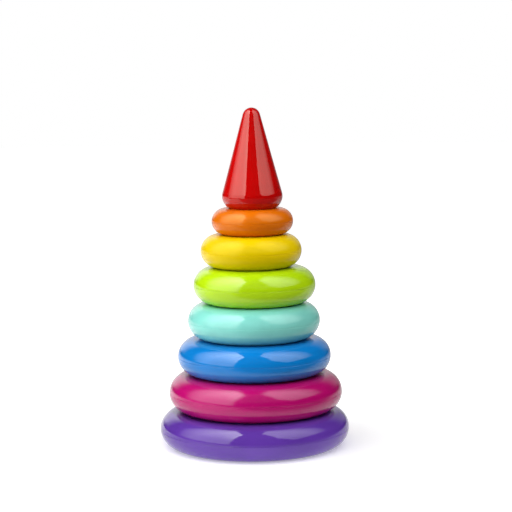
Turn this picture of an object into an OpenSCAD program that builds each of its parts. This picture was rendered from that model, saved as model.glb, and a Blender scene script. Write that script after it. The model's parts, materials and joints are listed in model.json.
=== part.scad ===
// Stacking ring toy: a round base with a fixed post, six loose rings and a cone cap.
// Base and rings are hollow, each made of two moulded half shells closed at mid height.
// Millimetres, +Z up the post, origin at the centre of the base's underside.

/* [Base] */
// Outer radius of the base
base_r = 70.5; // [66:0.5:80]
// Height of the base
base_h = 26.6; // [25:0.1:29]
// Stiffening ribs between the post seat and the rim
base_ribs = 6; // [3:1:10]

/* [Ring sizes, lowest ring first] */
// Outer radius of ring 1
ring_1_r = 64.5; // [61:0.1:66]
// Height of ring 1
ring_1_h = 27.7; // [25:0.1:29]
// Outer radius of ring 2
ring_2_r = 57.1; // [54:0.1:60]
// Height of ring 2
ring_2_h = 26.4; // [24:0.1:28]
// Outer radius of ring 3
ring_3_r = 49.1; // [46:0.1:53]
// Height of ring 3
ring_3_h = 26.4; // [24:0.1:28]
// Outer radius of ring 4
ring_4_r = 45.3; // [42:0.1:47]
// Height of ring 4
ring_4_h = 26.8; // [24:0.1:28]
// Outer radius of ring 5
ring_5_r = 37.4; // [35:0.1:41]
// Height of ring 5
ring_5_h = 24.3; // [22:0.1:26]
// Outer radius of ring 6
ring_6_r = 30.2; // [28.6:0.1:34]
// Height of ring 6
ring_6_h = 19.4; // [17.4:0.1:21]

/* [Ring rest positions] */
// How far ring 1 lies to one side of the post within its play
ring_1_shift = 0.95; // [-1.3:0.05:1.3]
// How far ring 2 lies to one side
ring_2_shift = 0.2; // [-1.3:0.05:1.3]
// How far ring 3 lies to one side
ring_3_shift = 0.2; // [-1.3:0.05:1.3]
// How far ring 4 lies to one side
ring_4_shift = 0.9; // [-1.3:0.05:1.3]
// How far ring 5 lies to one side
ring_5_shift = -1.25; // [-1.3:0.05:1.3]
// How far ring 6 lies to one side
ring_6_shift = -0.15; // [-1.3:0.05:1.3]

/* [Shells] */
// Wall thickness of every moulded shell
wall = 2.2; // [1.8:0.1:2.6]
// Radius of the hole through each ring
hole_r = 12.6; // [12:0.1:13]
// Rounding of the hole's edges
hole_edge_r = 2; // [1:0.1:2.6]
// Height of the lap joint's tongue
tongue_h = 1.8; // [1.2:0.1:2.4]
// Depth of the groove where two half shells meet
seam_groove = 0.35; // [0.2:0.05:0.5]

/* [Post] */
// Radius of the post where it leaves the base
post_foot_r = 10; // [9.4:0.1:10.4]
// Radius of the post at its tip
post_tip_r = 8.6; // [8:0.1:8.8]
// How far the post stands up inside the cone cap
post_reach = 39; // [30:0.5:44]
// Rounding of the post's tip
post_round_r = 4; // [2:0.5:6]
// Radius of the flange that the base shells trap
flange_r = 16; // [14:0.5:18]
// Thickness of that flange
flange_t = 2.5; // [2:0.1:3.5]
// Height of the flange's seat above the ground
seat_z = 8; // [6:0.5:10]

/* [Cone cap] */
// Height of the cone cap
cone_h = 73.9; // [70:0.1:80]
// Radius of the rounded bottom edge
cone_edge_r = 10.3; // [9.5:0.1:11]
// Distance of that edge's centre from the axis
cone_edge_c = 12.1; // [11:0.1:12.4]
// How much the flat underside trims off the rounded edge
cone_trim = 1.5; // [1.2:0.1:2]
// Radius of the rounded tip
cone_tip_r = 6.6; // [5:0.1:8]
// Radius of the socket plug's flange
plug_r = 14.8; // [14.4:0.1:15]
// Length of the socket sleeve
sleeve_l = 34; // [24:0.5:36]

/* [Hidden] */
$fn = 96;
lap_gap = 0.1;            // play between a tongue and its rebate
tongue_root = 1;          // part of a tongue that is buried in its own wall
tongue_end_gap = 0.2;     // space past the end of a tongue
tongue_inset = 0.1;       // step between a tongue and the hollow's wall
post_gap = 0.15;          // play between the post and the base around it
sleeve_gap = 0.4;         // play between the post and the cone's sleeve
sleeve_wall = 1.8;
mouth_chamfer = 1;        // lead-in at the sleeve's mouth
plug_flange_t = 1.2;
plug_recess = 0.2;        // the plug sits this far above the cone's underside
plug_step = 1.9;          // width of the step that stops the plug
rib_t = 1.6;
rib_h = 5;
far = 400;                // longer than any part
mid = base_h / 2;

ring_r = [ring_1_r, ring_2_r, ring_3_r, ring_4_r, ring_5_r, ring_6_r];
ring_h = [ring_1_h, ring_2_h, ring_3_h, ring_4_h, ring_5_h, ring_6_h];
ring_x = [ring_1_shift, ring_2_shift, ring_3_shift, ring_4_shift, ring_5_shift, ring_6_shift];

// Height of the surface that ring i stands on; i = 6 gives the seat of the cone cap.
function ring_z(i) = i == 0 ? base_h : ring_z(i - 1) + ring_h[i - 1];

cone_z = ring_z(6);
post_top = cone_z + post_reach;
post_bottom = wall + post_gap;

// Radius of the tapered post at height z above the ground.
function post_r(z) = post_foot_r - (post_foot_r - post_tip_r) * (z - base_h) / (post_top - base_h);

sleeve_r = post_r(cone_z) + sleeve_gap;
cone_edge_z = cone_edge_r - cone_trim;
cone_tip_z = cone_h - cone_tip_r;
cone_span = sqrt(pow(cone_edge_c, 2) + pow(cone_tip_z - cone_edge_z, 2));
// Half angle of the straight flank that touches both the edge and the tip circle.
cone_angle = acos((cone_tip_r - cone_edge_r) / cone_span) - atan2(cone_tip_z - cone_edge_z, cone_edge_c);

base_color = [0.37, 0.21, 0.63];
post_color = [0.93, 0.92, 0.88];
cone_color = [0.75, 0.01, 0.02];
plug_color = [0.75, 0.01, 0.02];
ring_color = [
  [0.71, 0.02, 0.41],
  [0.04, 0.49, 0.80],
  [0.51, 0.84, 0.79],
  [0.70, 0.85, 0.04],
  [0.90, 0.78, 0.00],
  [0.85, 0.42, 0.01]
];

// Section of a half round rim of height h that reaches out to radius r.
module rim_section(r, h) {
  intersection() {
    translate([r - h / 2, h / 2])
      circle(r = h / 2);
    translate([r - h / 2, 0])
      square([h / 2, h]);
  }
}

// Half of a solid disc's section: flat faces and a half round rim.
module disc_section(r, h) {
  rim_section(r, h);
  square([r - h / 2, h]);
}

// Section of a solid ring: half round rim, flat faces, rounded hole edges.
module ring_section(r, h, hole, edge) {
  rim_section(r, h);
  translate([hole + edge, 0])
    square([r - h / 2 - hole - edge, h]);
  translate([hole, edge])
    square([edge, h - 2 * edge]);
  for (z = [edge, h - edge])
    translate([hole + edge, z])
      circle(r = edge);
}

// Section of a ring's wall, both halves together.
module ring_wall_section(r, h) {
  difference() {
    ring_section(r, h, hole_r, hole_edge_r);
    translate([0, wall])
      ring_section(r - wall, h - 2 * wall, hole_r + wall, 0.4);
  }
}

// Section of the base's wall without its post seat.
module base_wall_section() {
  difference() {
    disc_section(base_r, base_h);
    translate([0, wall])
      disc_section(base_r - wall, base_h - 2 * wall);
  }
}

// Everything below (side = -1) or above (side = 1) the seam at height z.
module half_plane(z, side) {
  translate([0, side < 0 ? z - far : z])
    square([far, far]);
}

// V groove left by the two slightly rounded edges that meet at a rim.
module seam_groove_section(r, z) {
  translate([r, z])
    rotate(45)
      square(seam_groove * sqrt(2), center = true);
}

// Section of a tongue that stands on the seam at height z, from radius a to radius b.
module tongue(a, b, z) {
  translate([a, z - tongue_root])
    square([b - a, tongue_h + tongue_root]);
}

// Section of the rebate that takes that tongue, open towards the hollow.
module rebate(a, b, z) {
  translate([a, z])
    square([b - a, tongue_h + tongue_end_gap]);
}

// The lap at a rim of radius r: the tongue is on the hollow's side of the wall.
module rim_tongue(r, z) {
  tongue(r - wall + tongue_inset, r - wall / 2 - lap_gap / 2, z);
}

module rim_rebate(r, z) {
  rebate(r - 2 * wall, r - wall / 2 + lap_gap / 2, z);
}

// The lap at a ring's hole: again the tongue is on the hollow's side.
module hole_tongue(z) {
  tongue(hole_r + wall / 2 + lap_gap / 2, hole_r + wall - tongue_inset, z);
}

module hole_rebate(z) {
  rebate(hole_r + wall / 2 - lap_gap / 2, hole_r + 2 * wall, z);
}

module ring_lower(i) {
  r = ring_r[i];
  h = ring_h[i];
  color(ring_color[i])
    translate([ring_x[i], 0, ring_z(i)])
      rotate_extrude()
        difference() {
          union() {
            intersection() {
              ring_wall_section(r, h);
              half_plane(h / 2, -1);
            }
            rim_tongue(r, h / 2);
            hole_tongue(h / 2);
          }
          seam_groove_section(r, h / 2);
        }
}

module ring_upper(i) {
  r = ring_r[i];
  h = ring_h[i];
  color(ring_color[i])
    translate([ring_x[i], 0, ring_z(i)])
      rotate_extrude()
        difference() {
          intersection() {
            ring_wall_section(r, h);
            half_plane(h / 2, 1);
          }
          rim_rebate(r, h / 2);
          hole_rebate(h / 2);
          seam_groove_section(r, h / 2);
        }
}

// Radial ribs from the post seat outwards, trimmed to the base's outline.
module base_rib_set() {
  intersection() {
    for (i = [0 : base_ribs - 1])
      rotate([0, 0, i * 360 / base_ribs])
        translate([flange_r - 1, -rib_t / 2, wall / 2])
          cube([base_r - flange_r - 3, rib_t, rib_h]);
    rotate_extrude()
      translate([0, wall / 2])
        disc_section(base_r - wall / 2, base_h - wall);
  }
}

module base_lower_shell() {
  seat_outer = flange_r + 0.5;
  color(base_color) {
    rotate_extrude()
      difference() {
        union() {
          intersection() {
            base_wall_section();
            half_plane(mid, -1);
          }
          rim_tongue(base_r, mid);
          translate([post_foot_r + post_gap, wall / 2])
            square([seat_outer - post_foot_r - post_gap, seat_z - wall / 2]);
        }
        seam_groove_section(base_r, mid);
      }
    base_rib_set();
  }
}

module base_upper_shell() {
  collar_in = post_foot_r + post_gap;
  collar_z = seat_z + flange_t;
  color(base_color)
    rotate_extrude()
      difference() {
        union() {
          intersection() {
            base_wall_section();
            half_plane(mid, 1);
          }
          translate([collar_in, collar_z])
            square([wall, base_h - wall / 2 - collar_z]);
        }
        square([collar_in, far]);
        rim_rebate(base_r, mid);
        seam_groove_section(base_r, mid);
      }
}

// Outline of the post, drawn in by inset for its hollow.
module post_section(inset) {
  top = post_top - inset;
  round_r = max(post_round_r - inset, 1);
  polygon([
    [0, post_bottom],
    [post_foot_r - inset, post_bottom],
    [post_foot_r - inset, base_h],
    [post_tip_r - inset, top - round_r],
    [0, top - round_r]
  ]);
  translate([0, top - 2 * round_r])
    square([post_tip_r - inset - round_r, 2 * round_r]);
  translate([post_tip_r - inset - round_r, top - round_r])
    circle(r = round_r);
}

module post() {
  color(post_color)
    rotate_extrude()
      difference() {
        union() {
          post_section(0);
          translate([0, seat_z])
            square([flange_r, flange_t]);
        }
        post_section(wall);
      }
}

// Outline of the cone cap above its own underside, drawn in by inset.
module cone_section(inset) {
  edge = cone_edge_r - inset;
  tip = cone_tip_r - inset;
  intersection() {
    union() {
      translate([cone_edge_c, cone_edge_z])
        circle(r = edge);
      translate([0, cone_tip_z])
        circle(r = tip);
      polygon([
        [0, cone_edge_z - edge],
        [cone_edge_c, cone_edge_z - edge],
        [cone_edge_c + edge * cos(cone_angle), cone_edge_z + edge * sin(cone_angle)],
        [tip * cos(cone_angle), cone_tip_z + tip * sin(cone_angle)],
        [0, cone_tip_z + tip * sin(cone_angle)]
      ]);
    }
    translate([0, inset])
      square([far, far]);
  }
}

module cone_shell() {
  color(cone_color)
    translate([0, 0, cone_z])
      rotate_extrude()
        difference() {
          cone_section(0);
          cone_section(wall);
          square([plug_r - plug_step + lap_gap, 2 * wall]);
          square([plug_r + lap_gap, plug_recess + plug_flange_t]);
        }
}

module cone_socket_plug() {
  color(plug_color)
    translate([0, 0, cone_z])
      rotate_extrude()
        difference() {
          union() {
            translate([0, plug_recess])
              square([plug_r, plug_flange_t]);
            translate([0, plug_recess])
              square([plug_r - plug_step, 2 * wall]);
            translate([0, plug_recess])
              square([sleeve_r + sleeve_wall, sleeve_l]);
          }
          square([sleeve_r, far]);
          polygon([
            [0, plug_recess - mouth_chamfer],
            [sleeve_r + 2 * mouth_chamfer, plug_recess - mouth_chamfer],
            [sleeve_r, plug_recess + mouth_chamfer],
            [0, plug_recess + mouth_chamfer]
          ]);
        }
}

module ring_1_lower_shell() ring_lower(0);
module ring_1_upper_shell() ring_upper(0);
module ring_2_lower_shell() ring_lower(1);
module ring_2_upper_shell() ring_upper(1);
module ring_3_lower_shell() ring_lower(2);
module ring_3_upper_shell() ring_upper(2);
module ring_4_lower_shell() ring_lower(3);
module ring_4_upper_shell() ring_upper(3);
module ring_5_lower_shell() ring_lower(4);
module ring_5_upper_shell() ring_upper(4);
module ring_6_lower_shell() ring_lower(5);
module ring_6_upper_shell() ring_upper(5);

base_lower_shell();
base_upper_shell();
post();
ring_1_lower_shell();
ring_1_upper_shell();
ring_2_lower_shell();
ring_2_upper_shell();
ring_3_lower_shell();
ring_3_upper_shell();
ring_4_lower_shell();
ring_4_upper_shell();
ring_5_lower_shell();
ring_5_upper_shell();
ring_6_lower_shell();
ring_6_upper_shell();
cone_shell();
cone_socket_plug();
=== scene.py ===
import json
import math

import bmesh
import bpy
from mathutils import Euler, Matrix, Vector


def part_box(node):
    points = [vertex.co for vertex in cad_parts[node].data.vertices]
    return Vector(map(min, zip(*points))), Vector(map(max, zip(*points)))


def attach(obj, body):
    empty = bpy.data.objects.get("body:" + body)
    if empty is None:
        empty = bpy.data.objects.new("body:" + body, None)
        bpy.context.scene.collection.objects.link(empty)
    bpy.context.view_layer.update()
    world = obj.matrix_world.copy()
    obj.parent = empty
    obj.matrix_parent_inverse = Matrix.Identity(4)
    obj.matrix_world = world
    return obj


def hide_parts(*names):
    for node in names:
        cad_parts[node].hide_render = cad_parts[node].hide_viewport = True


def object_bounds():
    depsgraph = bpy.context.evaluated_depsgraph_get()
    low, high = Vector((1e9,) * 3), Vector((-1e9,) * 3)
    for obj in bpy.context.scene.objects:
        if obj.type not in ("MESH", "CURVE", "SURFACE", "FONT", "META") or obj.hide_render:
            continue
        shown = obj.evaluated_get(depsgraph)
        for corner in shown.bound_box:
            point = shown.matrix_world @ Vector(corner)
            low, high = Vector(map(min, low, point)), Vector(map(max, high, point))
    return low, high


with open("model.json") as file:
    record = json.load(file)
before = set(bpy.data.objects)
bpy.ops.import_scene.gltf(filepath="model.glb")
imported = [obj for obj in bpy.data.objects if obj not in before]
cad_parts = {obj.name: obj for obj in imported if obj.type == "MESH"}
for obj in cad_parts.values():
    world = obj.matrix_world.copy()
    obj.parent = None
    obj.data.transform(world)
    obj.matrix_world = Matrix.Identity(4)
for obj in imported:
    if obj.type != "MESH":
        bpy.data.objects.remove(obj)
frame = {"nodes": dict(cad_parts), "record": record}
cad_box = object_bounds()

MM = 0.001
RINGS = range(1, 7)
WHITE = (1.0, 1.0, 1.0)

# Details of the moulded shells that no bounding box tells, in millimetres, the same as in the frame.
WALL = 2.2
HOLE_R = 12.6            # hole through each ring
HOLE_EDGE_R = 2.0
TONGUE_H = 1.8
TONGUE_INSET = 0.1       # step between a tongue and the hollow's wall
LAP_GAP = 0.1            # play between a tongue and its rebate
REBATE_END_GAP = 0.2     # space past the end of a tongue
CAVITY_EDGE_R = 0.4
POST_HOLE_R = 10.15      # hole in the base round the post
SEAT_OUTER_R = 16.5
SEAT_Z = 8.0
COLLAR_Z = 10.5
RIB_COUNT = 6
RIB_THICKNESS = 1.6
RIB_TOP_Z = 6.1
CONE_EDGE_R = 10.3       # rounded bottom edge of the cone
CONE_EDGE_C = 12.1       # distance of that edge's centre from the axis
CONE_TRIM = 1.5          # how much the flat underside trims off the rounded edge
CONE_TIP_R = 6.6
PLUG_SEAT_R = 14.9
PLUG_SEAT_H = 1.4
PLUG_HOLE_R = 13.0

REBATE_H = TONGUE_H + REBATE_END_GAP
TONGUE_SIDE = (WALL + LAP_GAP) / 2    # from a wall's outer face to its tongue
REBATE_SIDE = (WALL - LAP_GAP) / 2    # from a wall's outer face to its rebate

# Details of the drawn shells alone, in millimetres.
SEAM_R = 0.25            # rounding of the two edges that meet at a rim's seam, finer than the frame's groove
COLLAR_EDGE_R = 0.4      # rounding of the edge round the post
SUPPORT = 0.4            # distance of the loop that keeps a flat face flat up to its edge
RIB_SINK = 0.5           # how far a rib runs into the walls round it

SEGMENTS = 192           # steps round the axis of a turned piece
ON_AXIS_R = 1e-6         # a section's point nearer the axis than this lies on it, in millimetres
WELD = 1e-7              # points nearer to each other than this become one, in metres
SHARP_ANGLE = 38         # an edge that bends by more degrees than this stays sharp

# Noises on the plastic: cells per metre, detail and roughness.
CLOUDS = (24.0, 4.0, 0.55)
FLOW = (260.0, 3.0, 0.6)
SMUDGES = (70.0, 5.0, 0.65)
PATCHES = (130.0, 5.0, 0.7)
MOULD_MARKS = (620.0, 2.0, 0.5)
PEEL_WAVES = (170.0, 1.5, 0.45)
GRAIN = (1500.0, 2.0, 0.5)
SCRATCHES = (1.0, 2.0, 0.5)      # laid over coordinates that are stretched already
SCRATCH_STRETCH = [(260.0, 2600.0, 900.0), (2400.0, 300.0, 700.0)]

# Bands of those noises over which their marks set in.
COLOR_BAND = (0.35, 0.65)
SMUDGE_BAND = (0.5, 0.72)
SCRATCH_BANDS = [(0.70, 0.78), (0.71, 0.79)]
PATCH_BAND = (0.42, 0.62)
FLAT_BAND = (0.985, 0.999)       # up or down part of the normal on which a face counts as flat

CLOUD_TONES = (0.93, 1.05)       # darkest and lightest drift of the colour
FLOW_TONE = 0.84
FLOW_SHARE = 0.12
WORN_WHITE = 0.25                # white in the colour of worn plastic
RUBBED_SHARE = 0.04              # how far rubbed and scratched plastic takes that colour
SCRATCHED_SHARE = 0.05
SMUDGED_ROUGHNESS = 0.035        # roughness that each kind of wear adds
RUBBED_ROUGHNESS = 0.12
SCRATCHED_ROUGHNESS = 0.12
MOULD_DEPTH = 4.5e-6             # depths of the bumps, in metres
PEEL_DEPTH = 9.0e-6
GRAIN_DEPTH = 0.5e-6
SCRATCH_DEPTH = 6.0e-6
SCRATCH_STRENGTH = 0.6
SLOW_TURN = (0.03, 0.03, 0.0)    # how little the mould marks change round the axis
PLASTIC_IOR = 1.5
SEED_STEP = 0.37                 # shifts the noises from one plastic to the next

# Of each moulding: roughness, strength of its orange peel, level of its gloss and the tint of its highlights.
# The red cap is the glossiest and, of the rings, yellow is the dullest.
FINISH = {
    "base_purple": (0.07, 1.0, 0.5, WHITE),
    "ring_1_magenta": (0.15, 1.3, 0.5, (1.0, 0.94, 1.0)),
    "ring_2_blue": (0.07, 1.0, 0.5, WHITE),
    "ring_3_mint": (0.11, 1.0, 0.5, WHITE),
    "ring_4_lime": (0.12, 1.1, 0.48, WHITE),
    "ring_5_yellow": (0.23, 1.3, 0.3, (1.0, 1.0, 0.35)),
    "ring_6_orange": (0.17, 1.2, 0.45, (1.0, 1.0, 0.45)),
    "cone_red": (0.05, 0.6, 0.5, (1.0, 0.96, 0.85)),
    "post_natural": (0.28, 1.0, 0.5, WHITE),
}

# Camera: where it stands, how far it looks down and rolls, in degrees, and its lens in millimetres.
CAMERA_PLACE = (0.0023, -1.3, 0.2972)
CAMERA_PITCH = 6.82
CAMERA_ROLL = -0.65
CAMERA_LENS = 124.3
CAMERA_SENSOR = 36.0

# Corners, in metres, of the softboxes at the left and the right of the toy and of the panel above the camera.
LEFT_PANEL = [(-0.62, -1.08, 0.04), (-0.2, -0.51, 0.95), (-0.2, 0.41, 0.95), (-1.15, 0.24, 0.14)]
RIGHT_PANEL = [
    (0.85, -0.76, 0.37), (0.42, -0.74, 0.6), (0.11, -0.41, 1.0), (0.15, 0.2, 1.0), (1.0, 0.2, 0.45)]
FRONT_PANEL = [(-0.7, -1.25, 0.45), (0.7, -1.25, 0.45), (0.55, -0.35, 1.15), (-0.55, -0.35, 1.15)]

# Brightness of each softbox: mirrored low down, mirrored high up, and what it gives to dull surfaces.
LEFT_GLOW = (2.4, 6.4, 2.6)
RIGHT_GLOW = (1.2, 3.3, 1.8)
FRONT_FILL = 2.1                 # the front panel lights only the dull part of the plastic
GLOW_BAND_Z = (0.25, 0.8)        # heights between which a softbox grows brighter
FADE_BAND_Y = (-0.15, 0.27)      # stretch towards the back in which a softbox fades out

# The floor, in metres from the toy's middle. The camera sees it white but for a soft shadow at the toy's
# foot; the toy is lit by it as if it had a bright patch at the foot, a pale back and a dark front.
FLOOR_RADIUS = 4.0
FLOOR_DROP = 0.0002              # keeps the floor just clear of the base's underside
FLOOR_TONE = 0.8
FRONT_TONE = 0.1                 # floor towards the camera, dark for the toy but not for the camera
FRONT_BAND_Y = (-0.17, -0.085)
FRONT_SLANT = 0.6                # the dark part lies more to the right
SHADOW_GLOW = 0.36               # light that the camera's view of the floor gains at the toy's foot
SHADOW_BAND = (0.085, 0.3)       # stretch over which that light rises to plain white
NEAR_GLOW = 0.35                 # light that the floor gives the toy close to the base
NEAR_BAND = (0.09, 0.18)
FLOOR_GLOW = 0.06                # and further out
BACKDROP_LIGHT = 0.9             # light that it gives the toy from behind
BACKDROP_RIGHT = 0.3             # how much of it is left on the right
BACKDROP_BAND_X = (-0.15, 0.15)
BACKDROP_BAND_Y = (0.02, 0.3)

# The room round the toy; its bands are parts of a direction whose length is 1.
ROOM_LIGHT = 0.02
WALL_LIGHT = 1.3                 # pale wall behind the toy
WALL_FOOT_BAND = (0.08, 0.25)
WALL_TOP_BAND = (0.5, 0.7)
WALL_BEHIND_BAND = (0.65, 0.85)
WALL_BAND_X = (-0.3, 0.3)
STRAIGHT_BACK = 0.8              # past this part towards the back the wall starts lower
STRAIGHT_BACK_DROP = 1.5


# ---------------------------------------------------------------- turned shapes

def arc(cx, cz, radius, start, end, steps):
    """Points on an arc in the section plane, ends included, angles in degrees from the outward direction."""
    points = []
    for k in range(steps + 1):
        angle = math.radians(start + (end - start) * k / steps)
        points.append((cx + radius * math.cos(angle), cz + radius * math.sin(angle)))
    return points


def line(a, b, steps):
    """Points between a and b, ends left out."""
    return [
        (a[0] + (b[0] - a[0]) * k / steps, a[1] + (b[1] - a[1]) * k / steps)
        for k in range(1, steps)
    ]


def tongue(start, end, mid):
    """Outline of a tongue that stands on the seam at height mid, from radius start to radius end."""
    return [(start, mid), (start, mid + TONGUE_H), (end, mid + TONGUE_H), (end, mid)]


def rim_outside(r, h):
    """Outside of a half round rim, from the seam at mid height down to the flat face."""
    mid = h / 2
    first = -math.degrees(math.asin(SEAM_R / mid))
    seam = arc(r - SEAM_R, mid - SEAM_R, SEAM_R, 90, 15, steps=5)
    return seam + arc(r - mid, mid, mid, first, -90, steps=36)


def rim_inside(r, h, male):
    """Inside of the same rim, from the cavity's flat face up to the seam, with the tongue or its rebate."""
    mid = h / 2
    inner = mid - WALL
    top = mid if male else mid - REBATE_H
    last = math.degrees(math.asin((top - mid) / inner))
    points = arc(r - mid, mid, inner, -90, last, steps=18)
    if male:
        return points + tongue(r - WALL + TONGUE_INSET, r - TONGUE_SIDE, mid)
    return points + [(r - REBATE_SIDE, top), (r - REBATE_SIDE, mid)]


def ring_half(r, h, male):
    """Closed section of a ring's half shell, drawn as the lower one with its flat face at z = 0."""
    mid = h / 2
    lip = HOLE_R + HOLE_EDGE_R
    inner = HOLE_R + WALL
    chamfer = SEAM_R / 2
    points = rim_outside(r, h)
    points += [(r - mid - SUPPORT, 0), (lip + SUPPORT, 0)]
    points += arc(lip, HOLE_EDGE_R, HOLE_EDGE_R, -90, -180, steps=10)
    points += [(HOLE_R, mid - chamfer), (HOLE_R + chamfer, mid)]
    if male:
        points += tongue(HOLE_R + TONGUE_SIDE, inner - TONGUE_INSET, mid) + [(inner, mid)]
    else:
        side = HOLE_R + REBATE_SIDE
        points += [(side, mid), (side, mid - REBATE_H), (inner, mid - REBATE_H)]
    points += arc(inner + CAVITY_EDGE_R, WALL + CAVITY_EDGE_R, CAVITY_EDGE_R, -180, -90, steps=3)
    return points + rim_inside(r, h, male)


def base_lower_half(r, h):
    """Closed section of the base's lower shell: closed floor with the post's seat."""
    points = rim_outside(r, h)
    points += [(r - h / 2 - SUPPORT, 0), (0, 0), (0, WALL), (POST_HOLE_R, WALL)]
    points += [(POST_HOLE_R, SEAT_Z), (SEAT_OUTER_R, SEAT_Z), (SEAT_OUTER_R, WALL)]
    return points + rim_inside(r, h, True)


def base_upper_half(r, h):
    """Closed section of the base's upper shell, upside down, with the collar round the post."""
    collar = h - COLLAR_Z
    edge = POST_HOLE_R + COLLAR_EDGE_R
    points = rim_outside(r, h)
    points += [(r - h / 2 - SUPPORT, 0), (edge + SUPPORT, 0)]
    points += arc(edge, COLLAR_EDGE_R, COLLAR_EDGE_R, -90, -180, steps=4)
    points += [(POST_HOLE_R, collar), (POST_HOLE_R + WALL, collar), (POST_HOLE_R + WALL, WALL)]
    return points + rim_inside(r, h, False)


def cone_section(h):
    """Closed section of the cone cap's shell, standing on z = 0."""
    edge_z = CONE_EDGE_R - CONE_TRIM
    tip_z = h - CONE_TIP_R
    span = math.hypot(CONE_EDGE_C, tip_z - edge_z)
    lean = math.atan2(tip_z - edge_z, CONE_EDGE_C)
    angle = math.degrees(math.acos((CONE_TIP_R - CONE_EDGE_R) / span) - lean)
    foot = -math.degrees(math.asin(edge_z / CONE_EDGE_R))
    inner_edge = CONE_EDGE_R - WALL
    inner_foot = -math.degrees(math.asin((edge_z - WALL) / inner_edge))
    edge = arc(CONE_EDGE_C, edge_z, CONE_EDGE_R, foot, angle, steps=28)
    tip = arc(0, tip_z, CONE_TIP_R, angle, 90, steps=16)
    inner_tip = arc(0, tip_z, CONE_TIP_R - WALL, 90, angle, steps=8)
    inner = arc(CONE_EDGE_C, edge_z, inner_edge, angle, inner_foot, steps=12)
    points = [(PLUG_SEAT_R, 0)] + edge + line(edge[-1], tip[0], steps=16) + tip
    points += inner_tip + line(inner_tip[-1], inner[0], steps=6) + inner
    points += [(PLUG_HOLE_R, WALL), (PLUG_HOLE_R, PLUG_SEAT_H), (PLUG_SEAT_R, PLUG_SEAT_H)]
    return points


def add_object(name, bm):
    """A smooth shaded object from a bmesh, with its sharp edges kept sharp."""
    bmesh.ops.recalc_face_normals(bm, faces=bm.faces)
    mesh = bpy.data.meshes.new(name)
    bm.to_mesh(mesh)
    bm.free()
    mesh.shade_smooth()
    mesh.set_sharp_from_angle(angle=math.radians(SHARP_ANGLE))
    obj = bpy.data.objects.new(name, mesh)
    bpy.context.scene.collection.objects.link(obj)
    return obj


def turned(name, section, centre, z0):
    """Turns a closed section, in millimetres, round a vertical axis through centre, from height z0 up."""
    bm = bmesh.new()
    columns = []
    for k in range(SEGMENTS):
        turn = 2 * math.pi * k / SEGMENTS
        x, y = math.cos(turn), math.sin(turn)
        columns.append([bm.verts.new((r * x * MM, r * y * MM, z * MM)) for r, z in section])
    count = len(section)
    for k in range(SEGMENTS):
        here, there = columns[k], columns[(k + 1) % SEGMENTS]
        for j in range(count):
            n = (j + 1) % count
            if section[j][0] < ON_AXIS_R and section[n][0] < ON_AXIS_R:
                continue
            bm.faces.new((here[j], here[n], there[n], there[j]))
    bmesh.ops.remove_doubles(bm, verts=bm.verts, dist=WELD)
    obj = add_object(name, bm)
    obj.location = (centre[0], centre[1], z0)
    return obj


def flipped(section, h):
    """The section upside down within the height h."""
    return [(r, h - z) for r, z in section]


# ---------------------------------------------------------------- plastic

class Graph:
    """Short calls for building a node tree. A socket takes a number, a colour, a vector or another socket."""

    def __init__(self, owner):
        owner.use_nodes = True
        self.nodes = owner.node_tree.nodes
        self.links = owner.node_tree.links
        self.nodes.clear()

    def add(self, kind, settings=None, **inputs):
        node = self.nodes.new("ShaderNode" + kind)
        for key, value in (settings or {}).items():
            setattr(node, key, value)
        for key, value in inputs.items():
            self.plug(node.inputs[key.replace("_", " ")], value)
        return node

    def plug(self, socket, value):
        if isinstance(value, bpy.types.NodeSocket):
            self.links.new(value, socket)
        else:
            socket.default_value = value

    def fill(self, node, values):
        """Plugs the values into the node's first sockets, in order."""
        for socket, value in zip(node.inputs, values):
            self.plug(socket, value)
        return node

    def math(self, operation, *values):
        return self.fill(self.add("Math", {"operation": operation}), values).outputs[0]

    def vector_math(self, operation, *values):
        return self.fill(self.add("VectorMath", {"operation": operation}), values).outputs

    def noise(self, vector, shape):
        scale, detail, rough = shape
        return self.add("TexNoise", Vector=vector, Scale=scale, Detail=detail, Roughness=rough).outputs["Fac"]

    def ramp(self, value, band, levels=(0.0, 1.0), rise="LINEAR"):
        """Goes from the first level to the second while value crosses the band."""
        node = self.add("MapRange", {"interpolation_type": rise})
        return self.fill(node, (value, *band, *levels)).outputs[0]

    def ease(self, value, band, levels=(0.0, 1.0)):
        """The same, with a soft start and a soft end."""
        return self.ramp(value, band, levels, "SMOOTHSTEP")

    def mix_color(self, factor, a, b):
        node = self.add("Mix", {"data_type": "RGBA"})
        self.plug(node.inputs[0], factor)
        self.plug(node.inputs[6], a)
        self.plug(node.inputs[7], b)
        return node.outputs[2]

    def bump(self, height, depth, under=None, strength=1.0):
        """Normal of the surface with height raised on it, over the bumps that under already has."""
        node = self.add("Bump", Strength=strength, Distance=depth, Height=height)
        if under is not None:
            self.plug(node.inputs["Normal"], under)
        return node.outputs[0]

    def output(self, kind, shader):
        self.plug(self.add(kind).inputs["Surface"], shader.outputs[0])


def turned_coordinates(g, point):
    """Coordinates that barely change round the axis, for marks that run round a turned mould."""
    x, y, z = g.add("SeparateXYZ", Vector=point).outputs
    radius = g.math("SQRT", g.math("ADD", g.math("MULTIPLY", x, x), g.math("MULTIPLY", y, y)))
    section = g.add("CombineXYZ", X=radius, Y=0.0, Z=z).outputs[0]
    return g.vector_math("ADD", section, g.vector_math("MULTIPLY", point, SLOW_TURN)[0])[0]


def opaque(color):
    return tuple(color[:3]) + (1.0,)


def tinted(color, factor):
    """The colour made darker or lighter."""
    return opaque([min(1.0, c * factor) for c in color[:3]])


def scratched(g, point):
    """Where fine scratches run, in two directions."""
    masks = [
        g.ease(g.noise(g.vector_math("MULTIPLY", point, stretch)[0], SCRATCHES), band)
        for stretch, band in zip(SCRATCH_STRETCH, SCRATCH_BANDS)
    ]
    return g.math("MAXIMUM", *masks)


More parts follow.
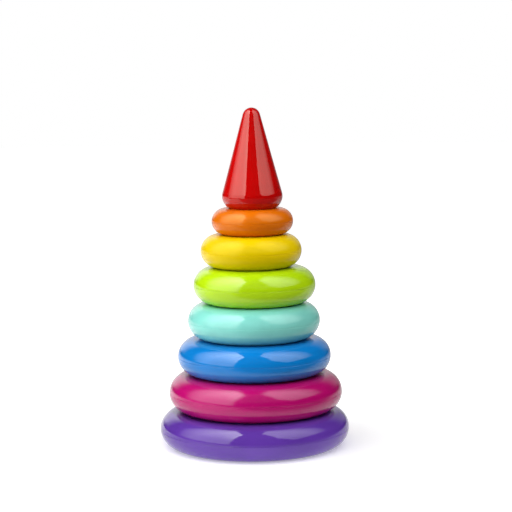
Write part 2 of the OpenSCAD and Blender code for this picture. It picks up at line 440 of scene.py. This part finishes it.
def rubbed_flats(g, point):
    """Where flat faces are rubbed by the pieces that lie on them."""
    normal = g.add("NewGeometry").outputs["Normal"]
    level = g.math("ABSOLUTE", g.add("SeparateXYZ", Vector=normal).outputs[2])
    return g.math("MULTIPLY", g.ease(level, FLAT_BAND), g.ease(g.noise(point, PATCHES), PATCH_BAND))


def plastic_tone(g, color, point, rings, rubbed, scratches):
    """The colour with its slow clouds and flow marks, paler where it is worn."""
    dark, light = CLOUD_TONES
    clouds = g.ease(g.noise(point, CLOUDS), COLOR_BAND)
    tone = g.mix_color(clouds, tinted(color, dark), tinted(color, light))
    flow = g.ease(g.noise(rings, FLOW), COLOR_BAND, (0.0, FLOW_SHARE))
    tone = g.mix_color(flow, tone, tinted(color, FLOW_TONE))
    pale = opaque([(1 - WORN_WHITE) * c + WORN_WHITE for c in color[:3]])
    tone = g.mix_color(g.math("MULTIPLY", rubbed, RUBBED_SHARE), tone, pale)
    return g.mix_color(g.math("MULTIPLY", scratches, SCRATCHED_SHARE), tone, pale)


def plastic_roughness(g, roughness, point, rubbed, scratches):
    """The moulding's roughness with what smudges, rubbing and scratches add to it."""
    smudges = g.ease(g.noise(point, SMUDGES), SMUDGE_BAND)
    wear = [
        (smudges, SMUDGED_ROUGHNESS),
        (rubbed, RUBBED_ROUGHNESS),
        (scratches, SCRATCHED_ROUGHNESS),
    ]
    for mask, added in wear:
        roughness = g.math("ADD", roughness, g.math("MULTIPLY", mask, added))
    return roughness


def plastic_normal(g, peel, point, rings, scratches):
    """Mould turning marks, orange peel, fine grain and scratches, one over the other."""
    normal = g.bump(g.noise(rings, MOULD_MARKS), MOULD_DEPTH * peel)
    normal = g.bump(g.noise(point, PEEL_WAVES), PEEL_DEPTH * peel, normal)
    normal = g.bump(g.noise(point, GRAIN), GRAIN_DEPTH * peel, normal)
    return g.bump(g.math("SUBTRACT", 1.0, scratches), SCRATCH_DEPTH, normal, SCRATCH_STRENGTH)


def plastic(name, color, finish, seed):
    """Glossy moulded plastic, coloured through, with the marks of its mould and of use."""
    roughness, peel, level, tint = finish
    material = bpy.data.materials.new(name)
    g = Graph(material)
    point = g.vector_math("ADD", g.add("TexCoord").outputs["Object"], (0.0, 0.0, seed))[0]
    rings = turned_coordinates(g, point)
    rubbed = rubbed_flats(g, point)
    scratches = scratched(g, point)
    shader = g.add(
        "BsdfPrincipled",
        Base_Color=plastic_tone(g, color, point, rings, rubbed, scratches),
        Roughness=plastic_roughness(g, roughness, point, rubbed, scratches),
        IOR=PLASTIC_IOR,
        Normal=plastic_normal(g, peel, point, rings, scratches),
        Specular_IOR_Level=level,
        Specular_Tint=opaque(tint),
    )
    g.output("OutputMaterial", shader)
    return material


# ---------------------------------------------------------------- the toy

SLOT_COLOR = {entry["slot"]: entry["base_color"] for entry in frame["record"]["materials"]}
SLOT_OF = {entry["node"]: entry["material_slot"] for entry in frame["record"]["subparts"]}

MATERIALS = {
    slot: plastic(slot + "_plastic", SLOT_COLOR[slot], finish, SEED_STEP * k)
    for k, (slot, finish) in enumerate(FINISH.items())
}


def dress(obj, body, slot):
    """Gives a piece its plastic, its body and its slot."""
    obj.data.materials.append(MATERIALS[slot])
    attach(obj, body)


def stand_for(obj, body, node):
    """Dresses a piece like the CAD node that it replaces."""
    dress(obj, body, SLOT_OF[node])
    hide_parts(node)


def middle(node):
    """Where the vertical axis of a round node stands."""
    low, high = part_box(node)
    return (low[0] + high[0]) / 2, (low[1] + high[1]) / 2


def pair_size(lower, upper):
    """Lowest z of two half shells in metres, and their outer radius and height in millimetres."""
    z0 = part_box(lower)[0][2]
    low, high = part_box(upper)
    return z0, (high[0] - low[0]) / 2 / MM, (high[2] - z0) / MM


def make_ring(index):
    body = f"ring_{index}"
    lower, upper = body + "_lower_shell", body + "_upper_shell"
    z0, r, h = pair_size(lower, upper)
    centre = middle(upper)
    stand_for(turned(body + "_lower", ring_half(r, h, True), centre, z0), body, lower)
    stand_for(turned(body + "_upper", flipped(ring_half(r, h, False), h), centre, z0), body, upper)


def make_base():
    lower, upper = "base_lower_shell", "base_upper_shell"
    z0, r, h = pair_size(lower, upper)
    centre = middle(upper)
    stand_for(turned("base_lower", base_lower_half(r, h), centre, z0), "base", lower)
    stand_for(turned("base_upper", flipped(base_upper_half(r, h), h), centre, z0), "base", upper)
    dress(base_ribs(r, h), "base", SLOT_OF[lower])


def base_ribs(r, h):
    """Radial ribs between the post's seat and the rim, inside the base."""
    bm = bmesh.new()
    mid = h / 2
    start = SEAT_OUTER_R - RIB_SINK
    floor = WALL - RIB_SINK
    curve = arc(r - mid, mid, mid - WALL + RIB_SINK, -90, 0, steps=40)
    below_top = [point for point in curve if point[1] < RIB_TOP_Z]
    outline = [(start, floor), (r - mid, floor)] + below_top
    outline += [(outline[-1][0], RIB_TOP_Z), (start, RIB_TOP_Z)]
    for k in range(RIB_COUNT):
        turn = Matrix.Rotation(2 * math.pi * k / RIB_COUNT, 3, "Z")
        left, right = [
            [bm.verts.new(turn @ Vector((x, y, z)) * MM) for x, z in outline]
            for y in (-RIB_THICKNESS / 2, RIB_THICKNESS / 2)
        ]
        bm.faces.new(left)
        bm.faces.new(right)
        for j in range(len(outline)):
            n = (j + 1) % len(outline)
            bm.faces.new((left[j], left[n], right[n], right[j]))
    return add_object("base_ribs", bm)


def make_cone():
    low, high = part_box("cone_shell")
    cone = turned("cone", cone_section((high[2] - low[2]) / MM), middle("cone_shell"), low[2])
    stand_for(cone, "cone_cap", "cone_shell")


make_base()
for ring in RINGS:
    make_ring(ring)
make_cone()
for node in ("post", "cone_socket_plug"):
    frame["nodes"][node].material_slots[0].material = MATERIALS[SLOT_OF[node]]


# ---------------------------------------------------------------- stage, light and camera

def stage_object(name, bm, material):
    """An object of the studio, which isn't part of the toy."""
    mesh = bpy.data.meshes.new(name)
    bm.to_mesh(mesh)
    bm.free()
    mesh.materials.append(material)
    obj = bpy.data.objects.new(name, mesh)
    bpy.context.scene.collection.objects.link(obj)
    return obj


def panel(name, corners, strength):
    """A flat glowing panel that the camera doesn't see; strength makes its brightness in its node tree."""
    bm = bmesh.new()
    bm.faces.new([bm.verts.new(corner) for corner in corners])
    material = bpy.data.materials.new(name)
    g = Graph(material)
    g.output("OutputMaterial", g.add("Emission", Strength=strength(g)))
    obj = stage_object(name, bm, material)
    obj.visible_camera = False
    return obj


def softbox(name, corners, glow):
    """A softbox as two panels in one place: what the gloss mirrors, and the light on dull surfaces."""
    low, high, fill = glow

    def mirrored(g):
        y, z = g.add("SeparateXYZ", Vector=g.add("TexCoord").outputs["Object"]).outputs[1:]
        climb = g.ease(z, GLOW_BAND_Z, (low, high))
        return g.math("MULTIPLY", climb, g.ramp(y, FADE_BAND_Y, (1.0, 0.0)))

    panel(name + "_mirrored", corners, mirrored).visible_diffuse = False
    panel(name + "_fill", corners, lambda g: fill).visible_glossy = False


def floor_glow(g, tone, point, x, y):
    """Light that the floor adds to its own shade: one amount for the camera, another for the toy."""
    radius = g.vector_math("LENGTH", point)["Value"]
    seen = g.ease(radius, SHADOW_BAND, (SHADOW_GLOW, 1.0))
    seen = g.math("ADD", seen, g.math("SUBTRACT", FLOOR_TONE, tone))
    backdrop = g.math(
        "MULTIPLY",
        g.ramp(y, BACKDROP_BAND_Y, (0.0, BACKDROP_LIGHT)),
        g.ramp(x, BACKDROP_BAND_X, (1.0, BACKDROP_RIGHT)),
    )
    given = g.math("ADD", g.ease(radius, NEAR_BAND, (NEAR_GLOW, FLOOR_GLOW)), backdrop)
    to_camera = g.add("LightPath").outputs["Is Camera Ray"]
    to_toy = g.math("SUBTRACT", 1.0, to_camera)
    return g.math("ADD", g.math("MULTIPLY", to_camera, seen), g.math("MULTIPLY", to_toy, given))


def make_floor():
    """Pale floor: a soft contact shadow at the toy's foot, plain white further out."""
    bm = bmesh.new()
    bmesh.ops.create_circle(bm, cap_ends=True, segments=96, radius=FLOOR_RADIUS)
    material = bpy.data.materials.new("floor_white")
    g = Graph(material)
    point = g.add("TexCoord").outputs["Object"]
    x, y = g.add("SeparateXYZ", Vector=point).outputs[:2]
    slanted = g.math("SUBTRACT", y, g.math("MULTIPLY", x, FRONT_SLANT))
    tone = g.ease(slanted, FRONT_BAND_Y, (FRONT_TONE, FLOOR_TONE))
    grey = g.add("CombineColor", Red=tone, Green=tone, Blue=tone).outputs[0]
    diffuse = g.add("BsdfDiffuse", Color=grey)
    glow = g.add("Emission", Strength=floor_glow(g, tone, point, x, y))
    g.output("OutputMaterial", g.fill(g.add("AddShader"), (diffuse.outputs[0], glow.outputs[0])))
    stage_object("floor", bm, material).location.z = cad_box[0][2] - FLOOR_DROP


def wall_light(g):
    """Light of the pale wall behind the toy, in the direction that is looked at."""
    x, y, z = g.add("SeparateXYZ", Vector=g.add("TexCoord").outputs["Generated"]).outputs
    past = g.math("MAXIMUM", g.math("SUBTRACT", y, STRAIGHT_BACK), 0.0)
    height = g.math("ADD", z, g.math("MULTIPLY", past, STRAIGHT_BACK_DROP))
    above_foot = g.ramp(height, WALL_FOOT_BAND, (0.0, WALL_LIGHT))
    below_top = g.ramp(z, WALL_TOP_BAND, (1.0, 0.0))
    behind = g.math("MULTIPLY", g.ramp(y, WALL_BEHIND_BAND), g.ramp(x, WALL_BAND_X, (1.0, BACKDROP_RIGHT)))
    return g.math("MULTIPLY", g.math("MULTIPLY", above_foot, below_top), behind)


def make_world():
    """White to the camera; to everything else a dim room with a pale wall behind the toy."""
    world = bpy.data.worlds.new("studio")
    bpy.context.scene.world = world
    g = Graph(world)
    room = g.add("Background", Color=opaque(WHITE), Strength=g.math("ADD", ROOM_LIGHT, wall_light(g)))
    white = g.add("Background", Color=opaque(WHITE), Strength=1.0)
    to_camera = g.add("LightPath").outputs["Is Camera Ray"]
    g.output("OutputWorld", g.fill(g.add("MixShader"), (to_camera, room.outputs[0], white.outputs[0])))


def make_camera():
    data = bpy.data.cameras.new("camera")
    data.sensor_width = CAMERA_SENSOR
    data.lens = CAMERA_LENS
    obj = bpy.data.objects.new("camera", data)
    bpy.context.scene.collection.objects.link(obj)
    tilt = Euler((math.radians(90 - CAMERA_PITCH), 0, 0)).to_matrix()
    roll = Matrix.Rotation(math.radians(CAMERA_ROLL), 3, "Z")
    obj.matrix_world = Matrix.Translation(CAMERA_PLACE) @ (tilt @ roll).to_4x4()
    bpy.context.scene.camera = obj


make_floor()
make_world()
make_camera()
softbox("softbox_left", LEFT_PANEL, LEFT_GLOW)
softbox("softbox_right", RIGHT_PANEL, RIGHT_GLOW)
panel("front_fill", FRONT_PANEL, lambda g: FRONT_FILL).visible_glossy = False

scene = bpy.context.scene
scene.view_settings.view_transform = "Standard"
scene.view_settings.look = "None"
